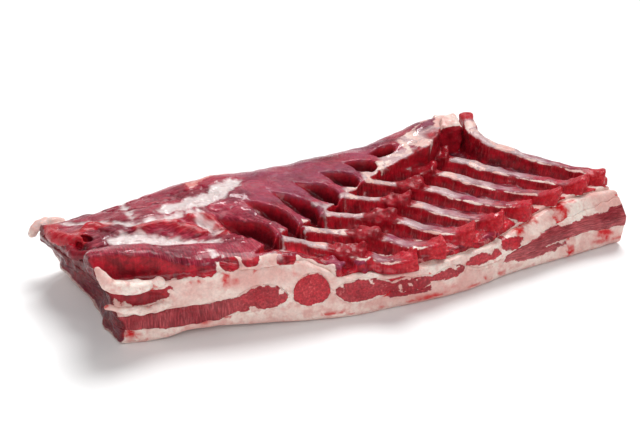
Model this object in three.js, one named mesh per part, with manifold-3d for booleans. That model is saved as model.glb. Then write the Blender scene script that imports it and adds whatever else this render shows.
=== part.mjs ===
// A whole pork belly slab, boned, lying on its rind with the rib side up.
// Millimetres, +Z up. X runs along the slab, Y from its front cut to its back edge, and the
// rind rests on Z = 0. Four layers lie on each other: the rind with the back fat, a lean
// sheet, the seam fat and the rib meat with the strips left between the ribs.
import * as THREE from 'three';
import { mergeVertices } from 'three/addons/utils/BufferGeometryUtils.js';
import Module from 'manifold-3d';

// --- driving dimensions ---------------------------------------------------------------
const ORIGIN = { x: -0.9, y: 1.26 }; // middle of the slab's box, which becomes X 0, Y 0
const LAYER_GAP = 0.3;            // clear space between one layer and the next
const SEGMENTS = { along: 40, across: 9, up: 2 };

// Plan: the slab's four edges.
const LEFT_X = -234;              // front left corner
const LEFT_SKEW = 34;             // how far the left end drifts out towards the back
const RIGHT_X = 276;              // front right corner
const RIGHT_SKEW = 66;            // how far the right end drifts in towards the back
const FRONT_Y = -71;
const FRONT_BULGE = { depth: 30, x: 30, left: 165, right: 140 };
const BACK_Y = 104;
const BACK_SLOPE = 0.055;
const CORNER_CUT = { usual: 6, frontRight: 1.5 };

// Heights of the top, along the front edge and along the back edge.
const FRONT_TOP = { left: 88, shoulder: 72, middle: 51, right: 65 };
const BACK_TOP = { left: 55, middle: 68, right: 86, hump: 4, humpX: -104 };
const ARCH = { lift: 10, x: -166, left: 24, right: 75, inwards: 45 };
const CURL = { lift: 19, fromX: -215, toX: -262, fromY: -35, toY: 50 };

// Left end: the muscles that show between the fascia folds.
const ROLL = { rise: 2, y: -56, spread: 20 };
const VALLEY = { drop: 10, y: -12, spread: 21 };
const SHOULDER = { rise: 5, x: -165, y: 42, alongX: 55, alongY: 24 };

// Lean sheet: lobes of muscle along the front cut, [centre x, reach, centre z, half thickness].
const LEAN_LOBES = [
  [-172, 84, 24.5, 9],
  [-107, 24, 36.5, 14],
  [-62, 17, 36, 16.5],
  [-14, 27, 27.5, 12.5],
  [30, 24, 25.5, 8],
  [68, 20, 27, 6.5],
];
const LEAN_WEDGE = { from: 104, to: 268, lowZ: 18, highZ: 36, half: 13 };
const LEAN_SHEET = { z: 30, half: 4.5, thinnest: 1.6, fade: 55 };

// Rib side: strip i runs from its root K over its joint J to its tip T, all evenly stepped.
const STRIPS = 7;
const ROOT = { x: 110, y: 77, stepX: -30, stepY: -20.5 };
const JOINT = { x: 140, y: 60, stepX: -25.5, stepY: -23, z: 63, stepZ: -1.1 };
const TIP = { x: 238, y: -52, stepX: -34, stepY: -7.4, z: 65, stepZ: -1.6 };
const STRIP = {
  rootWidth: 17, width: 15, foot: 22, tipStep: 0.8, sag: 3, tipRise: 6, stubRise: 7, segments: 10,
};
const END_STRIP = {
  points: [
    [188, 106, 84], [182, 84, 79], [185, 62, 74], [208, 37, 67], [238, -3, 65], [256, -30, 66],
    [266, -42, 71],
  ],
  width: 14,
};
const LOIN_STUB = { points: [[161, 107, 86], [160, 98, 86], [157, 83, 82]], width: 27 };
const LOIN_WEB = { points: [[160, 98, 62], [173, 101, 63], [188, 100, 66]], radius: 8 };
const FRONT_STUBS = [[-22, -74, 56], [-47, -74, 56]];

// Slots that the upper ribs left in the membrane, evenly stepped from start to end.
const SLOTS = 7;
const SLOT_START = { x: -118, y: 14, stepX: 30, stepY: 10.5 };
const SLOT_END = { x: -88, y: -68, stepX: 28.5, stepY: 21.5 };
const SLOT = { width: 25, depth: 17, skew: 1.6, segments: 8 };

// --- small helpers --------------------------------------------------------------------
const lerp = THREE.MathUtils.lerp;
const clamp = THREE.MathUtils.clamp;
const smooth = (from, to, value) => {
  const t = clamp((value - from) / (to - from), 0, 1);
  return t * t * (3 - 2 * t);
};
const bell = (distance, spread) => Math.exp(-((distance / spread) ** 2));
const stepped = (line, i) => new THREE.Vector3(
  line.x + line.stepX * i, line.y + line.stepY * i, (line.z ?? 0) + (line.stepZ ?? 0) * i);

// --- plan of the slab -----------------------------------------------------------------
const leftEdge = (y) => LEFT_X - LEFT_SKEW * smooth(-30, 90, y);
const rightEdge = (y) => RIGHT_X - (RIGHT_SKEW * (y - FRONT_Y)) / (BACK_Y - FRONT_Y);

function frontEdge(x) {
  const side = x < FRONT_BULGE.x ? FRONT_BULGE.left : FRONT_BULGE.right;
  return FRONT_Y - FRONT_BULGE.depth * bell(x - FRONT_BULGE.x, side);
}

const backEdge = (x) => BACK_Y + BACK_SLOPE * x + 3 * Math.sin(x / 31);

// How far the cut sides stand back from the plan at height z.
function frontInset(x, z) {
  const rindRound = 3 * smooth(6, 0, z);
  const bevel = 0.62 * Math.max(0, z - 32) * smooth(60, 170, x);
  const overhang = 6 * smooth(58, 66, z) * smooth(-110, -150, x);
  return rindRound + bevel + overhang + 1.2 * Math.sin(x / 19 + z / 11);
}

const leftInset = (y, z) => 6 * bell(z - 22, 14) - 12 * smooth(35, 80, z) * smooth(40, -60, y)
  + 2.5 * Math.sin(y / 13 + z / 9);

// Point of the plan for u along and v across, with the sides set back for height z.
function planPoint(u, v, z) {
  const corner = (t, cut = CORNER_CUT.usual) => cut * Math.abs(2 * t - 1) ** 10;
  const roughX = lerp(LEFT_X, RIGHT_X, u);
  const roughY = lerp(frontEdge(roughX), backEdge(roughX), v);
  const left = leftEdge(roughY) + leftInset(roughY, z) + corner(v);
  const right = rightEdge(roughY) - 1.5 - corner(v, v < 0.5 ? CORNER_CUT.frontRight : undefined);
  const x = lerp(left, right, u);
  const trim = corner(u, u > 0.5 ? CORNER_CUT.frontRight : undefined);
  const front = frontEdge(x) + frontInset(x, z) + trim;
  const back = backEdge(x) - 3 * smooth(8, 0, z) - corner(u);
  return new THREE.Vector2(x, lerp(front, back, v));
}

// --- heights --------------------------------------------------------------------------
function frontTop(x) {
  return FRONT_TOP.left
    - (FRONT_TOP.left - FRONT_TOP.shoulder) * smooth(-215, -150, x)
    - (FRONT_TOP.shoulder - FRONT_TOP.middle) * smooth(-80, -22, x)
    + (FRONT_TOP.right - FRONT_TOP.middle) * smooth(110, 230, x);
}

function backTop(x) {
  return BACK_TOP.left
    + (BACK_TOP.middle - BACK_TOP.left) * smooth(-260, -70, x)
    + BACK_TOP.hump * bell(x - BACK_TOP.humpX, 34)
    + (BACK_TOP.right - BACK_TOP.middle) * smooth(58, 142, x);
}

const across = (x, y) => (y - frontEdge(x)) / (backEdge(x) - frontEdge(x));

function topHeight(x, y) {
  const v = clamp(across(x, y), 0, 1);
  const leftPart = smooth(-75, -125, x);
  const edgeRound = 5 * bell(v, 0.05) + 6 * bell(1 - v, 0.07);
  return lerp(frontTop(x), backTop(x), smooth(0, 1, v))
    + 7 * Math.sin(Math.PI * v) * smooth(-120, -20, x)
    + leftPart * (ROLL.rise * bell(y - ROLL.y, ROLL.spread)
      - VALLEY.drop * bell(y - VALLEY.y, VALLEY.spread)
      + SHOULDER.rise * bell(x - SHOULDER.x, SHOULDER.alongX) * bell(y - SHOULDER.y, SHOULDER.alongY))
    - edgeRound;
}

function bottomHeight(x, y) {
  const side = x < ARCH.x ? ARCH.left : ARCH.right;
  const lift = ARCH.lift * bell(x - ARCH.x, side) * bell(y - frontEdge(x), ARCH.inwards);
  return (lift < 0.5 ? 0 : lift - 0.5) + curlLift(x, y);
}

// The thin back corner of the left end curls up from the floor.
function curlLift(x, y) {
  return CURL.lift * smooth(CURL.fromX, CURL.toX, x) * smooth(CURL.fromY, CURL.toY, y);
}

// Middle height and half thickness of the lean sheet, lobed at the front cut.
function leanAt(x, y) {
  let weight = 1e-3;
  let height = LEAN_SHEET.z * weight;
  let half = 0;
  for (const [at, reach, z, lobeHalf] of LEAN_LOBES) {
    const w = bell(x - at, reach * 0.8);
    weight += w;
    height += z * w;
    half = Math.max(half, lobeHalf * Math.sqrt(Math.max(0, 1 - ((x - at) / reach) ** 2)));
  }
  const along = clamp((x - LEAN_WEDGE.from) / (LEAN_WEDGE.to - LEAN_WEDGE.from), 0, 1);
  const wedge = smooth(LEAN_WEDGE.from - 20, LEAN_WEDGE.from + 10, x);
  const wedgeZ = lerp(LEAN_WEDGE.lowZ, LEAN_WEDGE.highZ, Math.sin((along * Math.PI) / 2));
  const frontZ = lerp(height / weight, wedgeZ, wedge);
  const frontHalf = Math.max(half * (1 - wedge), LEAN_WEDGE.half * along ** 0.8);
  const fade = bell(Math.max(0, y - frontEdge(x)), LEAN_SHEET.fade);
  const curled = curlLift(x, y);
  const sheetHalf = lerp(LEAN_SHEET.half, frontHalf, fade) * (1 - 0.4 * curled / CURL.lift);
  return {
    z: lerp(LEAN_SHEET.z, frontZ, fade) + 0.3 * curled,
    half: Math.max(LEAN_SHEET.thinnest, sheetHalf),
  };
}

const leanBottom = (x, y) => leanAt(x, y).z - leanAt(x, y).half;
const leanTop = (x, y) => leanAt(x, y).z + leanAt(x, y).half;

// Underside of the rib meat. The fat below it comes up to the top at the shoulder.
function seamTop(x, y) {
  const front = 60 + 9 * smooth(-160, -110, x) - 30 * smooth(-85, -20, x) + 18 * smooth(100, 230, x);
  const inner = 50 - 9 * smooth(-200, -40, x) + 2 * smooth(100, 200, x);
  const height = lerp(inner, front, bell(Math.max(0, y - frontEdge(x)), 40));
  return Math.min(Math.max(height, leanTop(x, y) + 2.5), topHeight(x, y) - 5);
}

// --- solids ---------------------------------------------------------------------------
const wasm = await Module();
wasm.setup();

// Moves each corner of a unit box's grid, u, v and w from 0 to 1, to where `place` puts it.
function mappedBox(segments, place) {
  const box = new THREE.BoxGeometry(1, 1, 1, segments.along, segments.across, segments.up);
  box.deleteAttribute('normal');
  box.deleteAttribute('uv');
  const corners = box.attributes.position;
  for (let i = 0; i < corners.count; i += 1) {
    const point = place(corners.getX(i) + 0.5, corners.getY(i) + 0.5, corners.getZ(i) + 0.5);
    corners.setXYZ(i, point.x, point.y, point.z);
  }
  return box;
}

function solid(geometry) {
  const merged = mergeVertices(geometry, 1e-4);
  return new wasm.Manifold(new wasm.Mesh({
    numProp: 3,
    vertProperties: new Float32Array(merged.attributes.position.array),
    triVerts: new Uint32Array(merged.index.array),
  }));
}

function geometryOf(body) {
  const mesh = body.getMesh();
  const geometry = new THREE.BufferGeometry();
  geometry.setAttribute('position', new THREE.BufferAttribute(new Float32Array(mesh.vertProperties), 3));
  geometry.setIndex(new THREE.BufferAttribute(new Uint32Array(mesh.triVerts), 1));
  geometry.computeVertexNormals();
  return geometry;
}

// Turns the diagonals of a box's underside, so that it matches the top of the layer below.
function matchUnderside(box) {
  const { start, count } = box.groups[5];
  const index = box.index.array;
  for (let i = start; i < start + count; i += 6) {
    const [a, b, d] = index.slice(i, i + 3);
    const c = index[i + 4];
    index.set([a, b, c, a, c, d], i);
  }
  return box;
}

// One layer of the slab between two height fields, both read on the same grid.
function layer(lower, upper) {
  return solid(matchUnderside(mappedBox(SEGMENTS, (u, v, w) => {
    const flat = planPoint(u, v, 30);
    const z = lerp(lower(flat.x, flat.y), upper(flat.x, flat.y), w);
    const place = planPoint(u, v, z);
    return new THREE.Vector3(place.x, place.y, z);
  })));
}

// A soft bar along `path`: `width(s)` across, from `low(s)` up to the path's own height.
function softBar(path, width, low, segments, footWidth = width) {
  return solid(mappedBox({ along: segments, across: 2, up: 2 }, (u, v, w) => {
    const point = path.getPoint(u);
    const ahead = path.getTangent(u);
    const side = new THREE.Vector3(-ahead.y, ahead.x, 0).normalize();
    const offset = (v - 0.5) * lerp(footWidth(u), width(u), smooth(0, 1, w));
    const shoulderDrop = (Math.abs(v - 0.5) * 2) ** 2 * w * 3.5;
    const height = lerp(low(u, point), point.z, w) - shoulderDrop;
    return new THREE.Vector3(point.x + side.x * offset, point.y + side.y * offset, height);
  }));
}

// --- rib side -------------------------------------------------------------------------
function strip(i) {
  const root = stepped(ROOT, i);
  root.z = topHeight(root.x, root.y) - 1;
  return { root, joint: stepped(JOINT, i), tip: stepped(TIP, i) };
}

const floorHeight = (x, y) => Math.max(lerp(43, 49, smooth(0, 200, x)), seamTop(x, y) + 2.6);

// The bed of the strips, from just behind their roots out past the front edge. The thick
// muscle at the back covers the roots of the first two.
function ribBed() {
  const first = -3;
  const last = STRIPS + 0.3;
  return solid(mappedBox({ along: 20, across: 6, up: 1 }, (u, v, w) => {
    const i = lerp(first, last, u);
    const { root, tip } = strip(i);
    const start = 0.02 + 0.13 * bell(i - 0.1, 1.2);
    const point = new THREE.Vector3().lerpVectors(root, tip, lerp(start, 1.5, v));
    const floor = floorHeight(point.x, point.y);
    return new THREE.Vector3(point.x, point.y, lerp(floor, 130, w));
  }));
}

// A strip runs on from the bridge between two slots.
function stripPath(i) {
  const { root, joint, tip } = strip(i);
  const quarter = new THREE.Vector3().lerpVectors(root, joint, 0.5);
  const middle = new THREE.Vector3().lerpVectors(joint, tip, 0.5);
  const nearTip = new THREE.Vector3().lerpVectors(joint, tip, 0.85);
  quarter.z -= STRIP.sag;
  middle.z -= STRIP.sag;
  middle.y -= 6 * smooth(1, 5, i);
  nearTip.y -= 3 * smooth(1, 5, i);
  nearTip.z -= 1;
  const bridge = stepped(SLOT_END, SLOTS - 0.5 - i);
  bridge.z = topHeight(bridge.x, bridge.y) - 1;
  const end = tip.clone();
  end.z += STRIP.tipRise;
  return new THREE.CatmullRomCurve3([bridge, quarter, joint, middle, nearTip, end]);
}

// The strips nearer the left broaden more towards their tips.
const stripWidth = (u, i) => lerp(STRIP.rootWidth, STRIP.width, smooth(0.05, 0.45, u))
  + i * STRIP.tipStep * smooth(0.75, 1, u);

const curveOf = (points) => new THREE.CatmullRomCurve3(points.map((p) => new THREE.Vector3(...p)));
const belowFloor = (u, p) => floorHeight(p.x, p.y) - 2;

function ribStrip(i) {
  const width = (u) => stripWidth(u, i);
  return softBar(stripPath(i), width, belowFloor, STRIP.segments, (u) => Math.max(width(u), STRIP.foot));
}

function endStrip() {
  const path = curveOf(END_STRIP.points);
  return softBar(path, () => END_STRIP.width, belowFloor, STRIP.segments + 2, () => STRIP.foot - 2);
}

// The cut end of the thick muscle at the back, between the first strip and the end strip.
const loinStub = () => softBar(curveOf(LOIN_STUB.points), () => LOIN_STUB.width, belowFloor, 4);

// The raised end of cut muscle beside each joint.
function stub(i) {
  const { root, joint } = strip(i);
  const start = new THREE.Vector3().lerpVectors(root, joint, 0.72);
  const end = new THREE.Vector3().lerpVectors(root, joint, 1.08);
  start.z = joint.z + STRIP.stubRise - 4;
  end.z = joint.z + STRIP.stubRise;
  return softBar(new THREE.LineCurve3(start, end), () => 19, (u, p) => floorHeight(p.x, p.y) - 1, 3);
}

function frontStub([x, y, z]) {
  const path = new THREE.LineCurve3(new THREE.Vector3(x, y, z), new THREE.Vector3(x + 14, y - 18, z - 2));
  return softBar(path, () => 15, () => 38, 3);
}

// A slot as a lens in plan, widest and deepest past its middle.
function slot(j) {
  const start = stepped(SLOT_START, j);
  const end = stepped(SLOT_END, j);
  const side = new THREE.Vector3(start.y - end.y, end.x - start.x, 0).normalize();
  return solid(mappedBox({ along: SLOT.segments, across: 2, up: 1 }, (u, v, w) => {
    const point = new THREE.Vector3().lerpVectors(start, end, u);
    const open = Math.max(0.06, Math.sin(Math.PI * u ** SLOT.skew) ** 0.7);
    const width = SLOT.width * open * lerp(0.75, 1, w);
    point.addScaledVector(side, (v - 0.5) * width + 5 * Math.sin(Math.PI * u));
    const floor = topHeight(point.x, point.y) - SLOT.depth * open;
    return new THREE.Vector3(point.x, point.y, lerp(floor, 120, w));
  }));
}

// Fat that stays bare in front of the rib meat.
function bareLedge() {
  return solid(mappedBox({ along: 16, across: 1, up: 1 }, (u, v, w) => {
    const x = lerp(-100, 300, u);
    const depth = 7 * smooth(-100, -60, x) + 16 * smooth(90, 230, x);
    const y = lerp(frontEdge(x) - 40, frontEdge(x) + depth, v);
    return new THREE.Vector3(x, y, lerp(20, 120, w));
  }));
}

// --- folds at the left end ------------------------------------------------------------
function roundBar(points, radius, segments = 7) {
  const path = curveOf(points);
  return solid(mappedBox({ along: segments, across: 2, up: 2 }, (u, v, w) => {
    const point = path.getPoint(u);
    const ahead = path.getTangent(u);
    const side = new THREE.Vector3(-ahead.y, ahead.x, 0).normalize();
    const up = new THREE.Vector3().crossVectors(ahead, side).normalize();
    const disc = new THREE.Vector2(v - 0.5, w - 0.5);
    const square = Math.max(Math.abs(disc.x), Math.abs(disc.y));
    if (square > 0) disc.setLength(2 * square * radius(u));
    return point.clone().addScaledVector(side, disc.x).addScaledVector(up, disc.y);
  }));
}

const tapered = (radius, end = 0.5) => (u) => radius * lerp(end, 1, Math.sin(Math.PI * u) ** 0.8);

// Tissue that closes the valley between the thick muscle and the end strip.
const loinWeb = () => roundBar(LOIN_WEB.points, () => LOIN_WEB.radius, 4);

const endLip = () => roundBar([[-256, 66, 54], [-259, 46, 56], [-250, 26, 61], [-238, 12, 66]], tapered(6));
const redLip = () => roundBar([[-240, 24, 60], [-228, 34, 63], [-212, 30, 62]], tapered(6.5), 5);
const curledRim = () => roundBar(
  [[-238, 20, 58], [-249, 12, 58], [-247, -4, 61], [-238, -16, 66]], tapered(5));
const pit = () => roundBar([[-243, 22, 64], [-238, 16, 62], [-232, 8, 67]], tapered(6, 0.3), 4);
const endTab = () => roundBar(
  [[-244, 82, 52], [-257, 84, 53], [-267, 84, 50], [-272, 83, 43.5]], tapered(6, 0.75), 5);

// The flap, or with a clearance the room that it takes out of the meat behind it.
function fatFlap(clearance = 0) {
  const radius = tapered(6);
  return roundBar(
    [[-241, -70, 81], [-236, -74, 70], [-222, -77, 63], [-206, -77, 62], [-190, -74, 61]],
    (u) => radius(u) + clearance);
}

const pocketLip = () => roundBar(
  [[-238, -74, 46], [-218, -78, 41], [-198, -78, 38.5], [-178, -75, 39]], tapered(3.2));
const pocket = () => roundBar(
  [[-240, -77, 54], [-222, -78, 51], [-204, -78, 48], [-184, -77, 45]], tapered(6.5, 0.3));

// --- the four layers ------------------------------------------------------------------
function rindFat() {
  return layer(bottomHeight, leanBottom);
}

function leanSheet() {
  return layer((x, y) => leanBottom(x, y) + LAYER_GAP, leanTop);
}

function seamFat() {
  return layer((x, y) => leanTop(x, y) + LAYER_GAP, seamTop)
    .subtract(pocket())
    .add(fatFlap())
    .add(pocketLip());
}

function ribMeat() {
  const meatBottom = (x, y) => seamTop(x, y) + LAYER_GAP;
  let meat = layer(meatBottom, topHeight);
  meat = meat.subtract(bareLedge()).subtract(ribBed());
  for (let i = 0; i < STRIPS; i += 1) meat = meat.add(ribStrip(i)).add(stub(i));
  meat = meat.add(endStrip()).add(loinStub()).add(loinWeb());
  for (const place of FRONT_STUBS) meat = meat.add(frontStub(place));
  for (let j = 0; j < SLOTS; j += 1) meat = meat.subtract(slot(j));
  meat = meat.subtract(layer(leanBottom, meatBottom)).subtract(fatFlap(2 * LAYER_GAP));
  return meat.add(endLip()).add(redLip()).add(curledRim()).add(endTab()).subtract(pit());
}

function pieceMesh(name, body, color, roughness) {
  const material = new THREE.MeshStandardMaterial({ color, roughness, metalness: 0 });
  const mesh = new THREE.Mesh(geometryOf(body), material);
  mesh.name = name;
  return mesh;
}

const slab = new THREE.Group();
slab.position.set(-ORIGIN.x, -ORIGIN.y, 0);
slab.add(pieceMesh('rind_fat', rindFat(), 0xd8b8ae, 0.45));
slab.add(pieceMesh('lean_sheet', leanSheet(), 0x8f4a50, 0.4));
slab.add(pieceMesh('seam_fat', seamFat(), 0xe0cdc2, 0.45));
slab.add(pieceMesh('rib_meat', ribMeat(), 0x96424f, 0.35));

export default slab;
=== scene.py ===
"""A raw pork belly slab, rib side up: the four packed layers, dressed.

Forms are worked out in millimetres, in the plan that the layers were modelled in, and are
turned into metres about the slab's middle. X runs along the slab, Y from its front cut to
its back edge, and the rind rests on Z = 0.
"""
from types import SimpleNamespace

import bpy
import numpy as np
import openvdb
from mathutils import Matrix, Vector


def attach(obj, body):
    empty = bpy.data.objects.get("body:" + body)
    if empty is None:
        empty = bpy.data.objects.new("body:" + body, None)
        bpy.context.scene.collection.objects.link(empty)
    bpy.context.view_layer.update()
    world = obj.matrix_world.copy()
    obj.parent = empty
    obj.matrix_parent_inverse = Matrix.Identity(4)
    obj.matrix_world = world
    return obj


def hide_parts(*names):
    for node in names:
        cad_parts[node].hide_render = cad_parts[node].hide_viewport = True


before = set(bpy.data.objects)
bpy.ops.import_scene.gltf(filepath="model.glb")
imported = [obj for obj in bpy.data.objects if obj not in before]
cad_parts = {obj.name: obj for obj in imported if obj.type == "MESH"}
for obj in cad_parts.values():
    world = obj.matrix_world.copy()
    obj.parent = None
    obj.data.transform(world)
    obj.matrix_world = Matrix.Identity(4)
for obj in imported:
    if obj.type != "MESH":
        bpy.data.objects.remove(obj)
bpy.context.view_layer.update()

# --- sizes, in millimetres ---
ORIGIN = np.array([-0.9, 1.26, 0.0])
VOXEL = 1.15
GRID_LOW = np.array([-282.0, -114.0, -4.0])
GRID_HIGH = np.array([281.0, 116.0, 94.0])

LEFT_X, LEFT_SKEW = -234.0, 34.0
RIGHT_X, RIGHT_SKEW = 276.0, 66.0
FRONT_Y, BACK_Y, BACK_SLOPE = -71.0, 104.0, 0.055
BULGE_DEPTH, BULGE_X, BULGE_LEFT, BULGE_RIGHT = 30.0, 30.0, 165.0, 140.0
CORNER_CUT, FRONT_RIGHT_CUT = 6.0, 1.5

# Heights along x: the left end's, then ramps that run from one x to another, to a new height.
FRONT_TOP = [88.0, (-215, -150, 72.0), (-80, -22, 51.0), (110, 230, 65.0)]
BACK_TOP = [55.0, (-260, -70, 68.0), (58, 142, 86.0)]
SEAM_FRONT = [60.0, (-160, -110, 69.0), (-85, -20, 39.0), (100, 230, 57.0)]
SEAM_INNER = [50.0, (-200, -40, 41.0), (100, 200, 43.0)]
HUMP_RISE, HUMP_X, HUMP_SPREAD = 4.0, -104.0, 34.0
ARCH_LIFT, ARCH_X, ARCH_LEFT, ARCH_RIGHT, ARCH_INWARDS = 10.0, -166.0, 24.0, 75.0, 45.0
CURL_LIFT = 19.0
ROLL_RISE, ROLL_Y, ROLL_SPREAD = 2.0, -56.0, 20.0
VALLEY_DROP, VALLEY_Y, VALLEY_SPREAD = 10.0, -12.0, 21.0
SHOULDER_RISE, SHOULDER_AT, SHOULDER_SPREAD = 5.0, (-165.0, 42.0), (55.0, 24.0)
CROWN_RISE, FRONT_DROP, BACK_DROP = 7.0, 5.0, 6.0
BED_FLOOR = [43.0, (0, 200, 49.0)]
BED_OVER_SEAM = 2.6

# Lobes of the lean sheet along the front cut: centre x, reach, centre z, half thickness.
LEAN_LOBES = [
    (-172, 84, 24.5, 9), (-107, 24, 36.5, 14), (-62, 17, 36, 16.5), (-14, 27, 27.5, 12.5),
    (30, 24, 25.5, 8), (68, 20, 27, 6.5),
]
WEDGE_FROM, WEDGE_TO, WEDGE_LOW, WEDGE_HIGH, WEDGE_HALF = 104.0, 268.0, 18.0, 36.0, 13.0
SHEET_Z, SHEET_HALF, SHEET_THINNEST, SHEET_FADE = 30.0, 4.5, 1.6, 55.0

STRIPS = 7
ROOT = np.array([[110.0, 77.0], [-30.0, -20.5]])     # place of strip 0, and the step
JOINT = np.array([[140.0, 60.0, 63.0], [-25.5, -23.0, -1.1]])
TIP = np.array([[238.0, -52.0, 65.0], [-34.0, -7.4, -1.6]])
ROOT_WIDTH, STRIP_WIDTH, STRIP_FOOT, TIP_STEP = 17.0, 15.0, 22.0, 0.8
STRIP_SAG, TIP_RISE, STUB_RISE = 3.0, 6.0, 7.0
END_STRIP = [
    [188, 106, 84], [182, 84, 79], [185, 62, 74], [208, 37, 67], [238, -3, 65], [256, -30, 66],
    [266, -42, 71],
]
END_STRIP_WIDTH = 14.0
LOIN_STUB, LOIN_STUB_WIDTH = [[161, 107, 86], [160, 98, 86], [157, 83, 82]], 27.0
FRONT_STUBS = [(-22, -74, 56), (-47, -74, 56)]

SLOTS = 7
SLOT_START = np.array([[-118.0, 14.0], [30.0, 10.5]])
SLOT_END = np.array([[-88.0, -68.0], [28.5, 21.5]])
SLOT_WIDTH, SLOT_DEPTH, SLOT_SKEW = 25.0, 17.0, 1.6


# --- small helpers ---
def lerp(a, b, t):
    return a + (b - a) * t


def smooth(low, high, value):
    t = np.clip((value - low) / (high - low), 0, 1)
    return t * t * (3 - 2 * t)


def bell(distance, spread):
    return np.exp(-((distance / spread) ** 2))


def smooth_max(a, b, radius):
    near = np.maximum(radius - np.abs(a - b), 0) / radius
    return np.maximum(a, b) + near * near * radius / 4


def smooth_min(a, b, radius):
    return -smooth_max(-a, -b, radius)


NOISE_VALUES = 4096          # a power of two, so that a bit mask picks one of them


def noise(x, y, z, cell, seed):
    """Smooth random values from -1 to 1 at points given by arrays that broadcast."""
    table = np.random.default_rng(seed).uniform(-1, 1, NOISE_VALUES).astype(np.float32)
    parts = []
    for axis, prime in ((x, 73856093), (y, 19349663), (z, 83492791)):
        scaled = np.asarray(axis, dtype=np.float32) / cell
        whole = np.floor(scaled)
        part = scaled - whole
        key = whole.astype(np.int64)
        parts.append((part * part * (3 - 2 * part), key * prime, (key + 1) * prime))
    (fx, x0, x1), (fy, y0, y1), (fz, z0, z1) = parts

    def corner(key):
        return table[(key ^ (key >> 13)) & (NOISE_VALUES - 1)]

    def edge(key):
        return lerp(corner(x0 ^ key), corner(x1 ^ key), fx)

    low, high = [lerp(edge(y0 ^ key), edge(y1 ^ key), fy) for key in (z0, z1)]
    return lerp(low, high, fz)


def rough(x, y, z, *layers):
    """A sum of noises, each given as its size, cell and seed."""
    return sum(size * noise(x, y, z, cell, seed) for size, cell, seed in layers)


# --- plan and heights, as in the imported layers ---
def left_edge(y):
    return LEFT_X - LEFT_SKEW * smooth(-30, 90, y)


def right_edge(y):
    return RIGHT_X - RIGHT_SKEW * (y - FRONT_Y) / (BACK_Y - FRONT_Y)


def front_edge(x):
    side = np.where(x < BULGE_X, BULGE_LEFT, BULGE_RIGHT)
    return FRONT_Y - BULGE_DEPTH * bell(x - BULGE_X, side)


def back_edge(x):
    return BACK_Y + BACK_SLOPE * x + 3 * np.sin(x / 31)


def front_inset(x, z):
    round_rind = 3 * smooth(6, 0, z)
    bevel = 0.62 * np.maximum(0, z - 32) * smooth(60, 170, x)
    overhang = 6 * smooth(58, 66, z) * smooth(-110, -150, x)
    return round_rind + bevel + overhang + 1.2 * np.sin(x / 19 + z / 11)


def left_inset(y, z):
    lean_in = 6 * bell(z - 22, 14) - 12 * smooth(35, 80, z) * smooth(40, -60, y)
    return lean_in + 2.5 * np.sin(y / 13 + z / 9)


def curl_lift(x, y):
    return CURL_LIFT * smooth(-215, -262, x) * smooth(-35, 50, y)


def bottom_height(x, y):
    side = np.where(x < ARCH_X, ARCH_LEFT, ARCH_RIGHT)
    lift = ARCH_LIFT * bell(x - ARCH_X, side) * bell(y - front_edge(x), ARCH_INWARDS)
    return np.maximum(lift - 0.5, 0) + curl_lift(x, y)


def along_x(heights, x):
    value, *ramps = heights
    total = value
    for low, high, level in ramps:
        total = total + (level - value) * smooth(low, high, x)
        value = level
    return total


def top_height(x, y):
    front, back = front_edge(x), back_edge(x)
    v = np.clip((y - front) / (back - front), 0, 1)
    front_top = along_x(FRONT_TOP, x)
    back_top = along_x(BACK_TOP, x) + HUMP_RISE * bell(x - HUMP_X, HUMP_SPREAD)
    shoulder = (SHOULDER_RISE * bell(x - SHOULDER_AT[0], SHOULDER_SPREAD[0])
                * bell(y - SHOULDER_AT[1], SHOULDER_SPREAD[1]))
    folds = (ROLL_RISE * bell(y - ROLL_Y, ROLL_SPREAD)
             - VALLEY_DROP * bell(y - VALLEY_Y, VALLEY_SPREAD) + shoulder)
    return (lerp(front_top, back_top, smooth(0, 1, v))
            + CROWN_RISE * np.sin(np.pi * v) * smooth(-120, -20, x)
            + smooth(-75, -125, x) * folds
            - FRONT_DROP * bell(v, 0.05) - BACK_DROP * bell(1 - v, 0.07))


def lean_at(x, y):
    """Middle height and half thickness of the lean sheet."""
    weight = 1e-3
    height = SHEET_Z * weight
    half = 0.0
    for at, reach, z, lobe_half in LEAN_LOBES:
        w = bell(x - at, reach * 0.8)
        weight = weight + w
        height = height + z * w
        half = np.maximum(half, lobe_half * np.sqrt(np.maximum(0, 1 - ((x - at) / reach) ** 2)))
    along = np.clip((x - WEDGE_FROM) / (WEDGE_TO - WEDGE_FROM), 0, 1)
    wedge = smooth(WEDGE_FROM - 20, WEDGE_FROM + 10, x)
    wedge_z = lerp(WEDGE_LOW, WEDGE_HIGH, np.sin(along * np.pi / 2))
    front_z = lerp(height / weight, wedge_z, wedge)
    front_half = np.maximum(half * (1 - wedge), WEDGE_HALF * along ** 0.8)
    fade = bell(np.maximum(0, y - front_edge(x)), SHEET_FADE)
    curled = curl_lift(x, y)
    sheet_half = lerp(SHEET_HALF, front_half, fade) * (1 - 0.4 * curled / CURL_LIFT)
    return lerp(SHEET_Z, front_z, fade) + 0.3 * curled, np.maximum(SHEET_THINNEST, sheet_half)


def seam_top(x, y):
    inward = bell(np.maximum(0, y - front_edge(x)), 40)
    height = lerp(along_x(SEAM_INNER, x), along_x(SEAM_FRONT, x), inward)
    lean_z, lean_half = lean_at(x, y)
    return np.minimum(np.maximum(height, lean_z + lean_half + 2.5), top_height(x, y) - 5)


def floor_height(x, y):
    return np.maximum(along_x(BED_FLOOR, x), seam_top(x, y) + BED_OVER_SEAM)


# --- routes that strips, slots and folds follow ---
RUN_ON = 14.0        # how far past its ends a route still counts, in plan


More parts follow.
